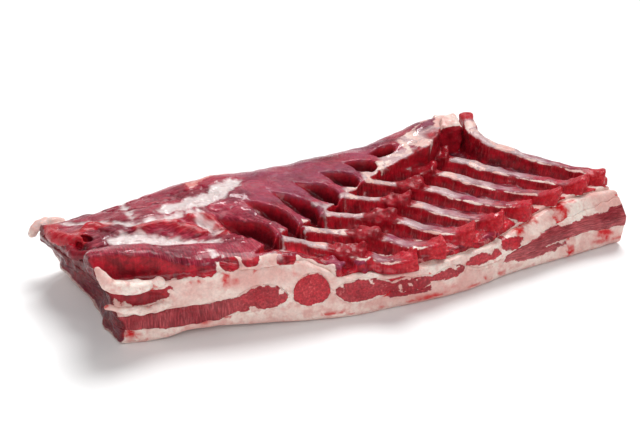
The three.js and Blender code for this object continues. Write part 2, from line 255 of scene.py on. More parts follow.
class Route:
    """A smooth curve through given points, read as short straight steps."""

    def __init__(self, points, steps=48):
        knots = np.array(points, dtype=float)
        knots = np.vstack([2 * knots[0] - knots[1], knots, 2 * knots[-1] - knots[-2]])
        at = np.linspace(0, len(knots) - 3 - 1e-9, steps + 1)
        i = at.astype(int)
        t = (at - i)[:, None]
        a, b, c, d = knots[i], knots[i + 1], knots[i + 2], knots[i + 3]
        self.points = 0.5 * (2 * b + (c - a) * t + (2 * a - 5 * b + 4 * c - d) * t ** 2
                             + (3 * b - a - 3 * c + d) * t ** 3)
        lengths = np.linalg.norm(np.diff(self.points, axis=0), axis=1)
        self.arc = np.concatenate([[0], np.cumsum(lengths)])
        self.length = self.arc[-1]

    def box(self, margin):
        return self.points.min(axis=0) - margin, self.points.max(axis=0) + margin

    def past_end(self, arc):
        """How far an arc length lies past either end, and less than 0 between them."""
        return np.maximum(arc - self.length, -arc)

    def nearest(self, *coords):
        """Distance, arc length, side (-1 or 1) and height at the nearest place of the route.

        Two coordinates are matched in plan, where the route also runs on straight past its
        ends, and three in space."""
        size = len(coords)
        shape = np.broadcast(*coords).shape
        best = np.full(shape, 1e12)
        arc = np.zeros(shape)
        side = np.ones(shape)
        last = len(self.points) - 2
        for i in range(last + 1):
            a, step = self.points[i], self.points[i + 1] - self.points[i]
            span = self.arc[i + 1] - self.arc[i]
            beyond = RUN_ON / span if size == 2 else 0.0
            offsets = [c - a[k] for k, c in enumerate(coords)]
            along = sum(o * step[k] for k, o in enumerate(offsets)) / (step[:size] ** 2).sum()
            t = np.clip(along, -beyond if i == 0 else 0, 1 + beyond if i == last else 1)
            gap = sum((o - t * step[k]) ** 2 for k, o in enumerate(offsets))
            closer = gap < best
            best = np.where(closer, gap, best)
            arc = np.where(closer, self.arc[i] + t * span, arc)
            turn = step[0] * offsets[1] - step[1] * offsets[0]
            side = np.where(closer, np.where(turn >= 0, 1, -1), side)
        return np.sqrt(best), arc, side, np.interp(arc, self.arc, self.points[:, 2])


def stepped(row, i):
    """Place i of a row that is given by its first place and the step to the next."""
    return row[0] + row[1] * i


def strip_points(i):
    root = np.append(stepped(ROOT, i), 0.0)
    root[2] = top_height(root[0], root[1]) - 1
    joint = stepped(JOINT, i)
    tip = stepped(TIP, i)
    bow = smooth(1, 5, i)
    quarter = lerp(root, joint, 0.5) - [0, 0, STRIP_SAG]
    middle = lerp(joint, tip, 0.5) - [0, 6 * bow, STRIP_SAG]
    near_tip = lerp(joint, tip, 0.85) - [0, 3 * bow, 1]
    bridge = np.append(stepped(SLOT_END, SLOTS - 0.5 - i), 0.0)
    bridge[2] = top_height(bridge[0], bridge[1]) - 0.2
    return [bridge, quarter, joint, middle, near_tip, tip + [0, 0, TIP_RISE]]


STRIP_ROUTES = [*(Route(strip_points(i)) for i in range(STRIPS)), Route(END_STRIP)]


def strip_width(u, i):
    """Width of strip i at u along it. The last one is the end strip."""
    if i == STRIPS:
        return END_STRIP_WIDTH + 0 * u
    return lerp(ROOT_WIDTH, STRIP_WIDTH, smooth(0.05, 0.45, u)) + i * TIP_STEP * smooth(0.75, 1, u)


def stub_route(i):
    """The raised end of cut muscle beside joint i."""
    root, joint = stepped(ROOT, i), stepped(JOINT, i)
    start, end = [np.append(lerp(root, joint[:2], t), joint[2] + STUB_RISE) for t in (0.72, 1.08)]
    start[2] -= 4
    return Route([start, lerp(start, end, 0.5), end], 12)


def bed_edge(i):
    start = 0.02 + 0.13 * float(bell(i - 0.1, 1.2))
    root, tip = stepped(ROOT, i), stepped(TIP, i)[:2]
    return np.append(lerp(root, tip, start), 0.0)


STUB_ROUTES = [stub_route(i) for i in range(STRIPS)]
LOIN_ROUTE = Route(LOIN_STUB, 12)
BED_EDGE = Route([bed_edge(i) for i in np.arange(-3, STRIPS + 1.5, 0.5)], 60)


def slot_points(j):
    start = stepped(SLOT_START, j)
    end = stepped(SLOT_END, j)
    run = end - start
    side = np.array([-run[1], run[0]]) / np.hypot(*run)
    return [np.append(lerp(start, end, t) + side * 5 * np.sin(np.pi * t), 0.0)
            for t in (0, 0.25, 0.5, 0.75, 1)]


SLOT_ROUTES = [Route(slot_points(j), 20) for j in range(SLOTS)]

# Round bars for folds, lips and hollows: the points of each, and its radius.
END_LIP = ([[-256, 66, 54], [-259, 46, 56], [-250, 26, 61], [-238, 12, 66]], 6.0)
RED_LIP = ([[-240, 24, 60], [-228, 34, 63], [-212, 30, 62]], 6.5)
CURLED_RIM = ([[-238, 20, 58], [-249, 12, 58], [-247, -4, 61], [-238, -16, 66]], 5.0)
PIT = ([[-243, 22, 64], [-238, 16, 62], [-232, 8, 67]], 6.0)
END_TAB = ([[-244, 82, 48], [-257, 84, 50], [-267, 84, 49], [-272, 83, 43.5]], 5.6)
FAT_FLAP = ([[-241, -70, 81], [-236, -74, 70], [-222, -77, 63], [-206, -77, 62], [-190, -74, 61]], 6.0)
POCKET_LIP = ([[-238, -74, 46], [-218, -78, 41], [-198, -78, 38.5], [-178, -75, 39]], 3.4)
POCKET = ([[-240, -77, 54], [-222, -78, 51], [-204, -78, 48], [-184, -77, 45]], 6.5)
LOIN_WEB = ([[160, 98, 62], [173, 101, 63], [188, 100, 66]], 8.0)


# --- the block of space that the forms are worked out in ---
COUNTS = np.ceil((GRID_HIGH - GRID_LOW) / VOXEL).astype(int) + 1
AXES = [(GRID_LOW[k] + VOXEL * np.arange(COUNTS[k])).astype(np.float32) for k in range(3)]
X, Y, Z = AXES[0][:, None, None], AXES[1][None, :, None], AXES[2][None, None, :]


def window(low, high):
    """The slices of the block that hold a box, and the block's coordinates there."""
    start = np.clip((low - GRID_LOW) / VOXEL, 0, COUNTS - 1).astype(int)
    stop = np.clip((high - GRID_LOW) / VOXEL + 2, start + 1, COUNTS).astype(int)
    cuts = tuple(slice(*ends) for ends in zip(start, stop))
    return cuts, X[cuts[0]], Y[:, cuts[1]], Z[:, :, cuts[2]]


def put(field, cuts, shape, blend, cut=False):
    """Joins a form to the field in its window, or cuts it away."""
    held = field[cuts]
    field[cuts] = smooth_max(held, -shape, blend) if cut else smooth_min(held, shape, blend)


# --- soft regions of the rib side, as routes in plan with a half width ---
FASCIA = [
    ([(-207, -3), (-186, -8), (-166, -12), (-148, -22), (-134, -34)], 10.5),
    ([(-152, 36), (-133, 36), (-112, 41), (-86, 60)], 10.0),
    ([(-243, 66), (-228, 52), (-199, 24), (-187, 19), (-170, 20), (-147, 22)], 3.4),
    ([(-186, 97), (-188, 64), (-190, 30)], 2.4),
    ([(-134, 22), (-130, 6), (-122, -12)], 4.0),
]
RED_ROLLS = [
    ([(-188, 10), (-170, 15), (-155, 11)], 4.6),
    ([(-151, 5), (-142, 2), (-131, -6)], 4.6),
    ([(-137, 15), (-124, 5), (-117, -20)], 5.0),
]
RIB_FASCIA = [
    ([(-92, -80), (-75, -66), (-46, -37), (-16, -15), (7, -1), (39, 25), (72, 51)], 4.6),
    ([(-24, 2), (-5, -6), (16, 14), (32, 20)], 4.0),
    ([(-38, -50), (-23, -33), (5, -25)], 5.0),
]
LOIN_FASCIA = [
    ([(58, 42), (72, 51), (91, 52), (113, 54), (131, 64), (146, 84), (156, 104)], 5.8),
    ([(107, 83), (128, 92), (149, 107)], 2.2),
    ([(100, 68), (113, 71), (129, 76)], 2.0),
]
BACK_EDGE = ([(-122, 76), (-100, 88), (-71, 104), (-46, 110), (-23, 112), (0, 112)], 6.0)
# White specks painted as wet glints on the top: centre x and y, half width and half height.
GLINT_SPOTS = [(-238, -43, 10, 8), (-144, -66, 10, 8)]


def near_route(x, y, points, width, wobble, seed):
    """1 near a route in plan, and 0 away from it, with a ragged edge."""
    route = Route([(*p, 0.0) for p in points], 6 * len(points))
    distance, arc, _, _ = route.nearest(x, y)
    ragged = rough(x, y, 0.0, (1, 7.0, seed), (0.6, 2.8, seed + 1))
    reach = np.hypot(distance, np.maximum(route.past_end(arc), 0)) + wobble * ragged
    return 1 - smooth(width - 2.6, width + 3.0, reach)


def near_routes(x, y, routes, wobble, seed):
    return np.maximum.reduce([near_route(x, y, points, width, wobble, seed + 10 * k)
                              for k, (points, width) in enumerate(routes)])


# --- height fields with their fine relief ---
OVERLAP = 0.5        # how far a layer reaches into its neighbour, so that no gap shows


def ripple(cell, size, seed):
    return rough(X, Y, 0.0, (size, cell, seed), (0.55 * size, 0.42 * cell, seed + 1))


def furrows(x, y):
    """1 along the creases between the bundles of the left end's muscles."""
    bundles = noise(x * 0.45 + 0.25 * y, y, 0.0, 21.0, 650) + 0.2 * noise(x, y, 0.0, 6.0, 651)
    return smooth(0.16, 0.02, np.abs(bundles)) * smooth(-84, -112, x)


def top_relief():
    muscles = 3.0 * near_routes(X, Y, RED_ROLLS, 1.0, 700) - 1.5 * near_routes(X, Y, FASCIA, 1.5, 600)
    loin_crest = 3.2 * bell(X - 146, 22) * bell(Y - 98, 17)
    return muscles + loin_crest - 1.5 * furrows(X, Y) + ripple(16.0, 0.9, 16)


FRONT_LEFT = smooth(-95, -125, X) * bell(Y - front_edge(X), 30)
TOP = top_height(X, Y) + top_relief()
BOTTOM = bottom_height(X, Y)
LEAN_Z, LEAN_HALF = lean_at(X, Y)
LEAN_LOW = LEAN_Z - LEAN_HALF + ripple(9.0, 1.0, 11)
LEAN_HIGH = LEAN_Z + LEAN_HALF + ripple(8.0, 1.1, 13)
SEAM = seam_top(X, Y) + (0.6 + 1.6 * FRONT_LEFT) * ripple(9.0, 1.0, 15)
LUMPS = rough(X, Y, Z, (0.6, 13.0, 21), (0.32, 5.5, 22), (0.2, 3.1, 23))


def cut_sides():
    """Distance out of the slab's four cut sides."""
    left_at, right_at = left_edge(Y), right_edge(Y)
    front_at, back_at = front_edge(X), back_edge(X)
    across_x = np.clip(2 * (X - left_at) / (right_at - left_at) - 1, -1, 1)
    across_y = np.clip(2 * (Y - front_at) / (back_at - front_at) - 1, -1, 1)
    front_trim = np.where(across_x > 0, FRONT_RIGHT_CUT, CORNER_CUT) * across_x ** 10
    right_trim = np.where(across_y < 0, FRONT_RIGHT_CUT, CORNER_CUT) * across_y ** 10
    front = front_at + front_inset(X, Z) + front_trim - Y
    back = Y - back_at + 3 * smooth(8, 0, Z) + CORNER_CUT * across_x ** 10
    folds = 2.2 * noise(X * 0.3, Y * 0.3, Z, 5.0, 31) + 1.2 * noise(X, Y * 0.5, Z, 4.0, 32)
    left = left_at + left_inset(Y, Z) + CORNER_CUT * across_y ** 10 - X + folds + 1.0
    right = X - right_at + 1.5 + right_trim
    return smooth_max(smooth_max(front, back, 3), smooth_max(left, right, 3), 2.5) + LUMPS


SIDES = cut_sides().astype(np.float32)


def round_bar(field, points, radius, blend, end=0.5, cut=False, wobble=1.0, seed=0):
    """A round bar along points in space, thinner at its ends."""
    route = Route(points, 24)
    low, high = route.box(radius + 6)
    cuts, x, y, z = window(low, high)
    distance, arc, _, _ = route.nearest(x, y, z)
    swell = lerp(end, 1, np.sin(np.pi * np.clip(arc / route.length, 0, 1)) ** 0.8)
    shape = distance - radius * swell + wobble * noise(x, y, z, 6.0, 300 + seed)
    put(field, cuts, shape, blend, cut)


# --- the strips, stubs and slots of the rib side ---
def around(route, margin, low_z, high_z=None):
    """The window about a route, its coordinates, and how they lie to the route in plan."""
    low, high = route.box(margin)
    low[2] = low_z
    high[2] = high[2] if high_z is None else high_z
    cuts, x, y, z = window(low, high)
    return cuts, (x, y, z), route.nearest(x, y)


def add_strip(field, i):
    route = STRIP_ROUTES[i]
    cuts, (x, y, z), (distance, arc, side, height) = around(route, 18, 36, 92)
    u = np.clip(arc / route.length, 0, 1)
    tip = bell(arc - route.length + 9, 13)
    crest = height + 1.3 * noise(arc, i, 0.0, 13.0, 41) + 1.6 * tip - 0.8
    across = distance * side + 1.7 * noise(arc, i, 5.0, 19.0, 42)
    floor = floor_height(x, y) - 2
    rise = np.clip((z - floor) / (crest - floor), 0, 1)
    width = strip_width(u, i)
    narrow = 2.6 * smooth(0.42, 0.12, u) * (i < STRIPS)
    crest_half = width / 2 - narrow + 1.2 * noise(arc, i, 9.0, 9.0, 43) + 0.8 * tip
    half = lerp(np.maximum(width, STRIP_FOOT) / 2, crest_half, smooth(0, 1, rise))
    half = half - 1.3 * bell(rise - 0.55, 0.25)
    ragged = noise(x, y, z, 5.0, 44)
    walls = np.abs(across) - half + (0.4 + 0.9 * tip) * ragged
    crown = z - crest + 2.2 * (across / crest_half) ** 2 + (0.5 + 1.3 * tip) * ragged
    ends = np.maximum(arc - route.length + 2.4 * ragged + 1.4, -arc - 4)
    shape = smooth_max(smooth_max(walls, crown, 2.2), ends, 3.0)
    put(field, cuts, np.maximum(shape, floor - z), 1.5)


def add_stub(field, i):
    """A torn wedge of cut muscle, which slopes down towards the front of the slab."""
    route = STUB_ROUTES[i]
    cuts, (x, y, z), (distance, arc, side, height) = around(route, 16, 38, 92)
    torn = rough(x, y, z, (1.7, 6.5, 51 + i), (0.9, 3.0, 71 + i))
    ends = np.maximum(arc - route.length - 2, -3 - arc) + torn
    slope = height - 2.4 + 0.28 * distance * side
    shape = smooth_max(smooth_max(distance - 8.2 + torn, ends, 4), z - slope + torn, 4.5)
    put(field, cuts, np.maximum(shape, 40 - z), 2.2)


def add_loin_stub(field):
    """The cut end of the thick muscle at the back, by the end strip."""
    radius = LOIN_STUB_WIDTH / 2
    cuts, (x, y, z), (distance, arc, _, height) = around(LOIN_ROUTE, radius + 5, 42)
    torn = rough(x, y, z, (1.2, 9.0, 55), (0.8, 3.5, 56))
    ends = LOIN_ROUTE.past_end(arc) + torn
    shape = smooth_max(smooth_max(distance - radius + torn, ends, 3), z - height + torn, 6)
    put(field, cuts, np.maximum(shape, floor_height(x, y) - 2 - z), 1.5)


def add_front_stub(field, place, seed):
    """A small torn end of muscle, which runs down over the front edge."""
    start = np.array(place, dtype=float)
    route = Route([start, start + [7, -9, -1], start + [14, -18, -2]], 12)
    cuts, (x, y, z), (distance, arc, _, height) = around(route, 14, 38)
    torn = 1.8 * noise(x, y, z, 6.0, 91 + seed)
    ends = route.past_end(arc) + torn
    shape = smooth_max(smooth_max(distance - 7 + torn, ends, 4), z - height + torn, 4)
    put(field, cuts, np.maximum(shape, 38 - z), 2.0)


def slot_opening(u):
    """How wide open a slot is at u along it, widest past its middle."""
    return np.maximum(0.06, np.sin(np.pi * np.clip(u, 0, 1) ** SLOT_SKEW) ** 0.7)


def cut_slot(field, j):
    route = SLOT_ROUTES[j]
    cuts, (x, y, z), (distance, arc, side, _) = around(route, 14, 40, 94)
    opening = slot_opening(arc / route.length)
    top = top_height(x, y)
    floor = top - SLOT_DEPTH * opening + 1.2 * noise(x, y, 0.0, 7.0, 61)
    rise = np.clip((z - floor) / (top - floor), 0, 1)
    half = SLOT_WIDTH / 2 * opening * lerp(0.8, 1.0, rise)
    lean_over = 2.2 * (1 - rise)
    across = distance * side + lean_over + 1.1 * noise(arc, j, 0.0, 11.0, 62)
    shape = np.maximum(np.maximum(np.abs(across) - half, floor - z), route.past_end(arc))
    put(field, cuts, shape, 1.4, cut=True)


def cut_bed(field):
    """Sinks the floor between the strips, from their roots out past the front edge."""
    distance, _, side, _ = BED_EDGE.nearest(X, Y)
    corner = stepped(ROOT, STRIPS + 0.3)
    out = stepped(TIP, STRIPS + 0.3)[:2] - corner
    out = out / np.hypot(*out)
    past_left = (X - corner[0]) * out[1] - (Y - corner[1]) * out[0]
    edge = 3.0 * noise(X, Y, 0.0, 12.0, 63)
    floor = floor_height(X, Y) + 1.6 * noise(X, Y, 0.0, 8.0, 64) + 0.8
    bed = np.maximum(np.maximum(floor - Z, edge - distance * side), past_left)
    return smooth_max(field, -bed, 2.0)


# --- the four layers ---
def rind_fat_field():
    return np.maximum(smooth_max(SIDES, BOTTOM - Z, 4), Z - LEAN_LOW - OVERLAP)


def lean_sheet_field():
    return np.maximum(SIDES - 0.35, np.maximum(LEAN_LOW - OVERLAP - Z, Z - LEAN_HIGH))


def seam_fat_field():
    field = np.maximum(smooth_max(SIDES, Z - SEAM, 3), LEAN_HIGH - OVERLAP - Z)
    round_bar(field, *POCKET, 1.5, end=0.3, cut=True, seed=1)
    round_bar(field, *FAT_FLAP, 3, wobble=1.9, seed=2)
    round_bar(field, *POCKET_LIP, 2, wobble=1.6, seed=3)
    return field


def rib_meat_field():
    ledge = 7 * smooth(-100, -60, X) + 16 * smooth(90, 230, X)
    front = front_edge(X) + ledge - Y + 1.5 * noise(X, Y, Z, 8.0, 33)
    round_over = 6 - 3.8 * FRONT_LEFT
    crust = smooth_max(smooth_max(SIDES, front, 3), Z - TOP + 0.5 * LUMPS, round_over)
    field = np.maximum(cut_bed(crust), SEAM - OVERLAP - Z)
    for i in range(STRIPS + 1):
        add_strip(field, i)
    for i in range(STRIPS):
        add_stub(field, i)
    add_loin_stub(field)
    round_bar(field, *LOIN_WEB, 2.5, end=1, seed=9)
    for k, place in enumerate(FRONT_STUBS):
        add_front_stub(field, place, k)
    for j in range(SLOTS):
        cut_slot(field, j)
    round_bar(field, *END_LIP, 2, seed=4)
    round_bar(field, *RED_LIP, 1.5, seed=5)
    round_bar(field, *CURLED_RIM, 2, seed=6)
    round_bar(field, *END_TAB, 2, end=0.75, wobble=2.2, seed=7)
    round_bar(field, *PIT, 1.5, end=0.3, cut=True, seed=8)
    return field


# --- from fields to meshes ---
BAND = 3 * VOXEL     # how far from its surface a field is kept


def largest_part(count, faces):
    """True for each of the points that belongs to the largest joined part."""
    label = np.arange(count)
    a, b = faces.ravel(), np.roll(faces, 1, axis=1).ravel()
    before = None
    while not np.array_equal(before, label):
        before = label.copy()
        low = np.minimum(label[a], label[b])
        np.minimum.at(label, a, low)
        np.minimum.at(label, b, low)
        label = label[label]
    names, sizes = np.unique(label, return_counts=True)
    return label == names[sizes.argmax()]


def surface(field, adaptivity):
    """The zero surface of a field, as points in millimetres and faces of three or four.

    Adaptivity, from 0 to 1, is how freely flat faces are merged."""
    grid = openvdb.FloatGrid(BAND)
    grid.copyFromArray(np.clip(field, -BAND, BAND).astype(np.float32))
    grid.gridClass = openvdb.GridClass.LEVEL_SET
    points, tris, quads = grid.convertToPolygons(0.0, adaptivity)
    padded = np.column_stack([tris, tris[:, 0]])
    keep = largest_part(len(points), np.vstack([padded, quads]).astype(int))
    new_index = np.cumsum(keep) - 1
    tris, quads = [new_index[faces[keep[faces[:, 0]]]] for faces in (tris, quads)]
    return points[keep] * VOXEL + GRID_LOW, tris, quads


def mesh_of(name, points, tris, quads):
    mesh = bpy.data.meshes.new(name)
    faces = [*tris[:, ::-1].tolist(), *quads[:, ::-1].tolist()]
    mesh.from_pydata((points - ORIGIN) / 1000, [], faces)
    mesh.validate()
    mesh.shade_smooth()
    return mesh


def normals_of(mesh):
    flat = np.empty(3 * len(mesh.vertices), dtype=np.float32)
    mesh.vertex_normals.foreach_get("vector", flat)
    return flat.reshape(-1, 3)


def add_object(name, data):
    thing = bpy.data.objects.new(name, data)
    bpy.context.scene.collection.objects.link(thing)
    return thing


# --- what each place of a surface is made of, and where shade and sheen are painted ---
# Besides the stuff itself, one mask paints shade in slots, troughs, creases and on the left end, and
# deepens cut muscle; the white one also carries painted sheen and glints.
MASKS = ("fat", "white", "raw", "grainy", "sleek", "film", "dark", "blood")


def blank(x):
    return {name: np.zeros_like(x) for name in MASKS}


def fibre_frame(across, along):
    return np.column_stack([across, along, np.zeros_like(across)])


def raise_to(masks, where=slice(None), **levels):
    """Lifts masks to at least a level."""
    for name, level in levels.items():
        masks[name][where] = np.maximum(masks[name][where], level)


def blend_to(masks, share, where=slice(None), **levels):
    """Moves masks towards a level, all the way where the share is 1."""
    for name, level in levels.items():
        masks[name][where] = lerp(masks[name][where], level, share)


def points_by(route, margin, x, y, chosen=True):
    """The chosen points about a route in plan, and how they lie to it."""
    low, high = route.box(margin)
    near = np.flatnonzero((x > low[0]) & (x < high[0]) & (y > low[1]) & (y < high[1]) & chosen)
    return near, *route.nearest(x[near], y[near])


def patch(x, z, at_x, at_z, wide, high, wobble, seed):
    """1 within an oval of a side face, with a ragged edge."""
    ragged = rough(x, z, 0.0, (1, 5.0, seed), (0.5, 2.2, seed + 1))
    reach = np.hypot((x - at_x) / wide, (z - at_z) / high) + wobble * ragged
    return 1 - smooth(0.85, 1.15, reach)


def patches(x, z, places, wobble, seed):
    return np.maximum.reduce([patch(x, z, *place, wobble, seed + 4 * k)
                              for k, place in enumerate(places)])


def near_bar(x, y, z, points, radius):
    """1 on a round bar that was added along points in space."""
    distance, _, _, _ = Route(points, 24).nearest(x, y, z)
    return 1 - smooth(radius + 0.6, radius + 2.4, distance)


LEAN_EDGE_NOISE = 1.9
TAB_PAINT_RADIUS = 6.0
WEDGE_FAT = 6.0      # how much of the wedge's upper edge is fat at the right

# Ragged ovals of the front cut: centre x and z, half width and half height.
ROUND_MUSCLE = (-62, 36, 17, 17)
SEAM_MUSCLES = [
    (-203, 50, 22, 8), (-238, 56, 12, 9), (12, 33, 14, 3), (105, 31, 19, 5.6), (139, 36.5, 14, 6),
]
RIND_MUSCLES = [(27, 18.5, 24, 4.6), (168, 19.5, 34, 4.4)]
RIM_MUSCLES = [(-131, 67.5, 8, 6), (-113, 70, 8, 5), (-82, 66, 9, 5)]
BLOOD_SPOTS = [
    (198, 54, 15, 6), (200, 45, 9, 5), (206, 32, 3, 10), (210, 9, 4, 8), (249, 16, 9, 6),
    (-136, 56, 5, 4), (-219, 12, 6, 4), (6, 24, 5, 5), (165, 50, 7, 4), (150, 45, 5, 4),
]


def paint_left_end(masks, x, y, z, normal):
    """The slab's left end: folded muscle with thin seams of fat, under painted shade."""
    end = smooth(-200, -222, x) * smooth(0.2, 0.55, -normal[:, 0])
    seam = np.abs(noise(y * 0.35, z, 0.0, 7.0, 801) + 0.3 * noise(y, z, 0.0, 4.0, 802))
    blend_to(masks, end, fat=0.6 * smooth(0.08, 0.02, seam), raw=0.5)
    # painted shade over the whole left end face, which faces away from the key light
    raise_to(masks, dark=0.78 * end)


def paint_blood(masks, x, y, z):
    front = smooth(30, 22, y - front_edge(x))
    raise_to(masks, blood=front * patches(x, z, BLOOD_SPOTS, 0.55, 860))


def paint_rind_fat(x, y, z, normal):
    masks = blank(x)
    above = z - bottom_height(x, y)
    rosy = 0.55 * smooth(-0.3, 0.6, noise(x * 0.2, y, z, 6.0, 810) + 0.6 * bell(x - 20, 110))
    pink_rind = 0.85 * smooth(6.5, 2.5, above + 1.6 * noise(x, y, z, 9.0, 811))
    streak = noise(x * 0.1, y, z, 2.2, 812)
    stretch = smooth(-0.05, 0.3, noise(x * 0.3, y, 0.0, 14.0, 813) + 0.45 * bell(x - 80, 55))
    band = smooth(14, 11, above) * smooth(3.5, 6, above)
    raise_to(masks, fat=1.0, film=np.maximum(pink_rind, rosy),
             blood=0.9 * smooth(0.25, 0.5, streak) * stretch * band)
    muscles = patches(x, z, RIND_MUSCLES, 0.14, 840) * smooth(12, 8, y - front_edge(x))
    granular = muscles * smooth(112, 92, x)
    blend_to(masks, muscles, fat=0.0, film=0.0, blood=0.0)
    raise_to(masks, grainy=granular, raw=0.4 * granular)
    paint_left_end(masks, x, y, z, normal)
    rind = smooth(6, 3, above)
    raise_to(masks, fat=rind)
    blend_to(masks, 0.4 * rind, dark=0.0)
    paint_blood(masks, x, y, z)
    return masks, fibre_frame(z, x)


def paint_lean_sheet(x, y, z, normal):
    masks = blank(x)
    middle, half = lean_at(x, y)
    covered = WEDGE_FAT * smooth(180, 222, x) * bell(np.maximum(0, y - front_edge(x)), SHEET_FADE)
    wedge_fat = smooth(0.8, -0.8, middle + half - z - covered + 1.2 * noise(x, y, z, 5.0, 826))
    thin = smooth(3.6, 2.0, half + 0.8 * noise(x, y, z, 5.0, 821))
    lobes = smooth(-140, -118, x) * smooth(112, 92, x)
    marbled = smooth(0.45, 0.75, rough(x, y, z, (1, 2.8, 822), (0.6, 1.7, 823)))
    round_muscle = patch(x, z, *ROUND_MUSCLE, 0.1, 824)
    inside = half - np.abs(z - middle)
    frayed = smooth(3.0, 0.2, LEAN_EDGE_NOISE * noise(x, y, z, 4.0, 825) + inside)
    joined = np.maximum.reduce([bell(x - at_x, 0.75 * wide) for at_x, _, wide, _ in RIND_MUSCLES])
    joined = joined * smooth(2, -1, z - middle)
    raise_to(masks, fat=0.8 * marbled * lobes * (1 - 0.7 * round_muscle))
    raise_to(masks, fat=np.maximum(thin, 0.85 * frayed * (0.35 + 0.65 * lobes)) * (1 - joined))
    raise_to(masks, fat=wedge_fat * smooth(180, 200, x), grainy=lobes,
             raw=0.1 * (x < 100) + 0.3 * lobes + 0.3 * round_muscle)
    paint_left_end(masks, x, y, z, normal)
    upright = (x < -110) | (np.abs(x) < 100)
    return masks, fibre_frame(np.where(upright, x, z * 1.2), np.where(upright, z, x))


def paint_seam_fat(x, y, z, normal):
    masks = blank(x)
    front = smooth(14, 9, y - front_edge(x))
    ovals = front * np.maximum(patches(x, z, SEAM_MUSCLES, 0.22, 830),
                               patches(x, z, RIM_MUSCLES, 0.12, 850))
    corner = smooth(-170, -190, x)
    speck = rough(x, y, z, (1, 3.0, 880), (0.6, 12.0, 881))
    # the muscle ovals at the left corner sit in the pocket under the fat flap and get painted shade
    # there
    raise_to(masks, fat=1 - ovals, raw=0.7 * ovals, grainy=ovals * (1 - 0.6 * corner),
             sleek=0.8 * ovals * corner, dark=0.3 * ovals * corner,
             blood=0.9 * smooth(0.75, 1.0, speck + 0.12 * smooth(60, 140, x)))
    paint_left_end(masks, x, y, z, normal)
    folds = np.maximum(near_bar(x, y, z, *FAT_FLAP), near_bar(x, y, z, *POCKET_LIP))
    raise_to(masks, fat=folds)
    blend_to(masks, folds, dark=0.0)
    paint_blood(masks, x, y, z)
    return masks, fibre_frame(x, z)


def paint_strips(masks, x, y, z, normal, across, along):
    """Fat and film on the strips' crests, fibres down their walls with painted shade deeper down, and
    raw, grainy tips.
    """
    up = normal[:, 2]
    raised = z > floor_height(x, y) - 1
    for i, route in enumerate(STRIP_ROUTES):
        near, distance, arc, side, height = points_by(route, 16, x, y, raised)
        half = strip_width(np.clip(arc / route.length, 0, 1), i) / 2
        on = (distance < half + 3.5) & (arc > -2) & (arc < route.length + 6)
        near, distance, arc, side = near[on], distance[on], arc[on], side[on]
        below, half = z[near] - height[on], half[on]
        u = arc / route.length
        place = x[near], y[near], z[near]
        ragged = rough(*place, (1, 4.0, 901), (0.6, 2.0, 902))
        crest = smooth(0.5, 0.8, up[near] + 0.12 * ragged) * smooth(-5.5, -3, below + 1.3 * ragged)
        tip = smooth(route.length - 25, route.length - 12, arc + 4 * ragged)
        if i == STRIPS:
            tip = np.maximum(tip, smooth(15, 9, arc + 3 * ragged))
        rim = smooth(half - 2.8, half - 1.2, distance + 0.7 * ragged)
        lilac = smooth(0.42, 0.6, u + 0.1 * ragged)
        bare = 0.75 * smooth(0.6, 0.85, u + 0.12 * ragged)
        patchy = noise(*place, 8.0, 903) + 0.7 * ragged
        front_rim = rim * smooth(1, -1, side)
        skin = crest * (1 - tip)
        wall = 1 - crest
        # the walls get painted shade, deeper further below the crest
        blend_to(masks, 1.0, near,
                 fat=skin * lerp(0.5 + 0.45 * patchy, 0.9 * front_rim, lilac),
                 white=skin * lerp(0.6, 0.25 + 0.4 * patchy, lilac) * (1 - bare),
                 film=skin * lerp(0.35, 0.8, lilac) * (1 - front_rim) * (1 - bare),
                 raw=np.maximum.reduce([wall, 0.7 * tip, bare]),
                 grainy=tip, sleek=0.6 * wall * (1 - tip),
                 dark=0.65 * wall * smooth(-7, -19, below) * (1 - 0.9 * tip),
                 blood=0.22 * tip + 0.3 * wall * smooth(-9, -2, below))
        across[near] = np.where(wall > 0.5, arc, distance * side)
        along[near] = np.where(wall > 0.5, z[near], arc)


def paint_stubs(masks, x, y, z, normal):
    """Dark red cut muscle beside the joints and at the end of the thick back muscle."""
    for route, reach in [*((route, 9.5) for route in STUB_ROUTES), (LOIN_ROUTE, 15.0)]:
        raised = z > route.box(reach + 16)[0][2]
        near, distance, arc, side, _ = points_by(route, reach + 4, x, y, raised)
        ragged = 1.6 * noise(x[near], y[near], z[near], 4.0, 911)
        away = np.hypot(distance, np.maximum(route.past_end(arc), 0))
        cut = 1 - smooth(reach - 1.5, reach + 0.5, away + ragged)
        if route is LOIN_ROUTE:
            cut = cut * smooth(-7, -5, distance * side + ragged)
            top = cut * smooth(0.35, 0.6, normal[near, 2] + 0.1 * ragged)
            cut = cut * (1 - top)
            blend_to(masks, top, near, fat=0.75, raw=0.0)
        blend_to(masks, cut, near, fat=0.0, white=0.0, film=0.0, raw=1.0, grainy=0.25,
                 sleek=1.0, dark=0.3, blood=0.15)


def paint_slots(masks, x, y, z, across, along):
    """Sleek cut muscle inside the slots, with painted shade that deepens down into them, and fibres
    that bend around them.
    """
    for route in SLOT_ROUTES:
        near, distance, arc, side, _ = points_by(route, 24, x, y)
        by_slot = distance < 20
        near, distance, arc = near[by_slot], distance[by_slot], arc[by_slot]
        depth = top_height(x[near], y[near]) - z[near]
        half = SLOT_WIDTH / 2 * slot_opening(arc / route.length)
        hole = smooth(3.0, 0.5, distance - half) * smooth(0.6, 2.2, depth)
        # painted shade inside the slots, deeper with depth
        raise_to(masks, near, raw=hole, grainy=0.3 * hole, sleek=hole,
                 dark=0.95 * hole * smooth(2, 11, depth), blood=0.2 * hole * smooth(8, 2, depth))
        blend_to(masks, hole, near, fat=0.0, white=0.0)
        across[near] = np.where(hole > 0.5, arc, distance * side[by_slot])
        along[near] = np.where(hole > 0.5, z[near], arc)


